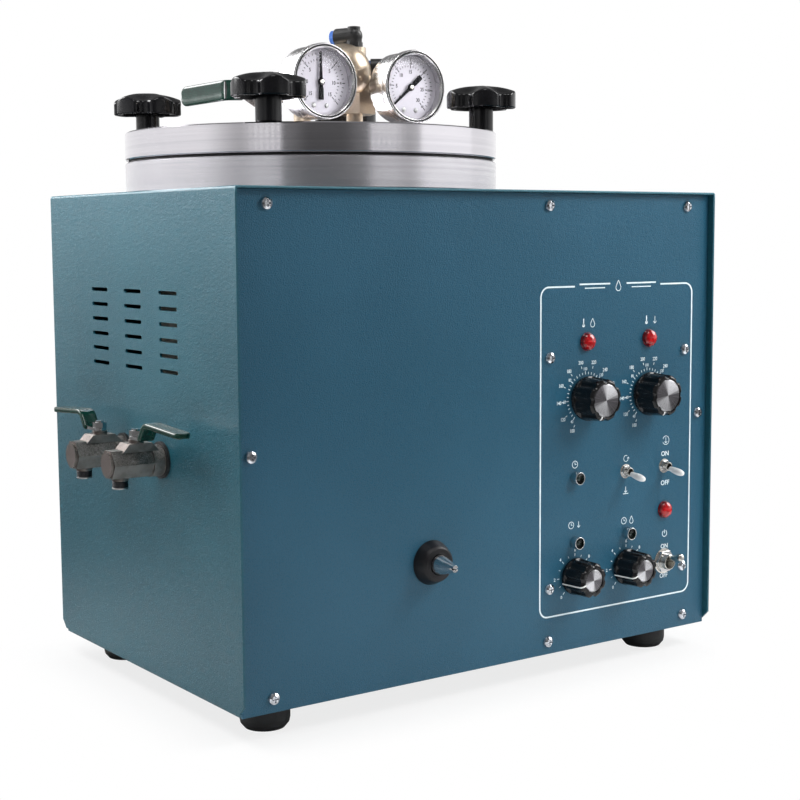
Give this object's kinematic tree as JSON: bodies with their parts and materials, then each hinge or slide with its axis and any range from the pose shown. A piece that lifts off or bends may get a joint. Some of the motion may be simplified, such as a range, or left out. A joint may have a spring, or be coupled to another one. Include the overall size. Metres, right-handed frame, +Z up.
{
  "type": "wax injector",
  "caption": "Bench-top jewelry wax injector: round heated wax tank with a clamped lid, gauges and valves on a sheet-metal case with a spring nozzle and a control panel.",
  "frame": {"origin": "on the floor under the centre of the object's bounding box", "axes": "+Z up, -Y out of the front panel, +X to the right seen from the front"},
  "size_m": [0.4444, 0.305, 0.4629],
  "materials": {
    "case_paint": "fine textured powder coat",
    "machined_aluminium": "turned",
    "plain_steel": "zinc plated",
    "bright_nickel": "plated",
    "valve_metal": "nickel plated casting",
    "brass": "machined",
    "black_plastic": "moulded",
    "rubber": "matt",
    "green_vinyl": "dipped",
    "white_vinyl": "dipped",
    "red_lens": "translucent",
    "blue_plastic": "moulded",
    "dial_white": "satin",
    "black_paint": "satin",
    "glass": "clear",
    "felt": "needled",
    "board_green": "solder mask",
    "winding": "taped"
  },
  "bodies": {
    "cabinet": {"cabinet_cover": "case_paint", "base_pan": "case_paint", "front_panel": "case_paint", "back_panel": "case_paint", "rubber_feet": "rubber", "case_fasteners": "plain_steel", "wax_tank": "machined_aluminium", "clamp_studs": "plain_steel", "tank_stand": "plain_steel", "heaters": "plain_steel", "insulation_jacket": "felt", "drain_pipes": "brass", "drain_valve_bodies": "valve_metal", "drain_washers": "rubber", "nozzle_valve_block": "machined_aluminium", "nozzle_collar": "brass", "feed_tube": "brass", "pilot_lamps": "red_lens", "led_bezels": "bright_nickel", "potentiometers": "black_plastic", "toggle_switch_bodies": "bright_nickel", "bush_nuts": "bright_nickel", "circuit_board": "board_green", "board_mounts": "plain_steel", "vacuum_pump": "machined_aluminium", "pump_motor": "plain_steel", "transformer": "winding", "solenoid_valve": "black_plastic", "air_line": "rubber", "rear_hose_tails": "brass", "power_inlet": "black_plastic"},
    "lid": {"tank_lid": "machined_aluminium", "lid_seal": "rubber", "gauge_manifold": "brass", "gauge_cases": "bright_nickel", "gauge_dials": "dial_white", "gauge_lenses": "glass", "exhaust_valve_body": "valve_metal", "air_elbows": "black_plastic", "elbow_collets": "blue_plastic"},
    "star_knob_1": {"star_knob_1": "black_plastic"},
    "star_knob_2": {"star_knob_2": "black_plastic"},
    "star_knob_3": {"star_knob_3": "black_plastic"},
    "star_knob_4": {"star_knob_4": "black_plastic"},
    "vacuum_pointer": {"vacuum_pointer": "black_paint"},
    "pressure_pointer": {"pressure_pointer": "black_paint"},
    "exhaust_lever": {"exhaust_lever": "bright_nickel", "exhaust_grip": "green_vinyl"},
    "drain_lever_front": {"drain_lever_front": "bright_nickel", "drain_grip_front": "green_vinyl"},
    "drain_lever_rear": {"drain_lever_rear": "bright_nickel", "drain_grip_rear": "green_vinyl"},
    "nozzle_tip": {"nozzle_tip": "brass"},
    "wax_temperature_knob": {"wax_temperature_knob": "black_plastic"},
    "valve_temperature_knob": {"valve_temperature_knob": "black_plastic"},
    "vacuum_time_knob": {"vacuum_time_knob": "black_plastic"},
    "injection_time_knob": {"injection_time_knob": "black_plastic"},
    "auto_toggle": {"auto_toggle": "white_vinyl"},
    "vacuum_toggle": {"vacuum_toggle": "white_vinyl"},
    "power_toggle": {"power_toggle": "bright_nickel"}
  },
  "joints": [
    {"name": "lid_lift", "type": "slide", "parent": "cabinet", "child": "lid", "axis": [0, 0, 1], "range_m": [0, 0.12]},
    {"name": "star_knob_1_turn", "type": "hinge", "parent": "lid", "child": "star_knob_1", "pos_m": [0.04281, 0.09156, 0.4039], "axis": [0, 0, 1], "continuous": true},
    {"name": "star_knob_2_turn", "type": "hinge", "parent": "lid", "child": "star_knob_2", "pos_m": [-0.12831, 0.09156, 0.4039], "axis": [0, 0, 1], "continuous": true},
    {"name": "star_knob_3_turn", "type": "hinge", "parent": "lid", "child": "star_knob_3", "pos_m": [-0.12831, -0.07956, 0.4039], "axis": [0, 0, 1], "continuous": true},
    {"name": "star_knob_4_turn", "type": "hinge", "parent": "lid", "child": "star_knob_4", "pos_m": [0.04281, -0.07956, 0.4039], "axis": [0, 0, 1], "continuous": true},
    {"name": "vacuum_pointer_turn", "type": "hinge", "parent": "lid", "child": "vacuum_pointer", "pos_m": [-0.05525, -0.0275, 0.4175], "axis": [0, 1, 0], "range_deg": [-135, 135]},
    {"name": "pressure_pointer_turn", "type": "hinge", "parent": "lid", "child": "pressure_pointer", "pos_m": [0.02045, -0.0275, 0.4175], "axis": [0, 1, 0], "range_deg": [0, 270]},
    {"name": "exhaust_lever_turn", "type": "hinge", "parent": "lid", "child": "exhaust_lever", "pos_m": [-0.05525, 0.0445, 0.4175], "axis": [1, 0, 0], "range_deg": [0, 90]},
    {"name": "drain_lever_front_turn", "type": "hinge", "parent": "cabinet", "child": "drain_lever_front", "pos_m": [-0.20075, -0.0285, 0.1675], "axis": [0, 0, 1], "range_deg": [-90, 0]},
    {"name": "drain_lever_rear_turn", "type": "hinge", "parent": "cabinet", "child": "drain_lever_rear", "pos_m": [-0.20075, 0.0275, 0.1675], "axis": [0, 0, 1], "range_deg": [0, 90]},
    {"name": "nozzle_press", "type": "slide", "parent": "cabinet", "child": "nozzle_tip", "axis": [0, 1, 0], "range_m": [0, 0.004], "stiffness_N_per_m": 700, "springref_m": -0.005},
    {"name": "wax_temperature_knob_turn", "type": "hinge", "parent": "cabinet", "child": "wax_temperature_knob", "pos_m": [0.10055, -0.1345, 0.1974], "axis": [0, 1, 0], "range_deg": [0, 300]},
    {"name": "valve_temperature_knob_turn", "type": "hinge", "parent": "cabinet", "child": "valve_temperature_knob", "pos_m": [0.16055, -0.1345, 0.1969], "axis": [0, 1, 0], "range_deg": [0, 300]},
    {"name": "vacuum_time_knob_turn", "type": "hinge", "parent": "cabinet", "child": "vacuum_time_knob", "pos_m": [0.09005, -0.1345, 0.0711], "axis": [0, 1, 0], "range_deg": [-25, 275]},
    {"name": "injection_time_knob_turn", "type": "hinge", "parent": "cabinet", "child": "injection_time_knob", "pos_m": [0.13975, -0.1345, 0.0715], "axis": [0, 1, 0], "range_deg": [-25, 275]},
    {"name": "auto_toggle_tip", "type": "hinge", "parent": "cabinet", "child": "auto_toggle", "pos_m": [0.13875, -0.1245, 0.1417], "axis": [1, 0, 0], "range_deg": [-20, 0]},
    {"name": "vacuum_toggle_tip", "type": "hinge", "parent": "cabinet", "child": "vacuum_toggle", "pos_m": [0.17775, -0.1245, 0.1421], "axis": [1, 0, 0], "range_deg": [-20, 0]},
    {"name": "power_toggle_tip", "type": "hinge", "parent": "cabinet", "child": "power_toggle", "pos_m": [0.17825, -0.1245, 0.0705], "axis": [1, 0, 0], "range_deg": [0, 30]}
  ]
}
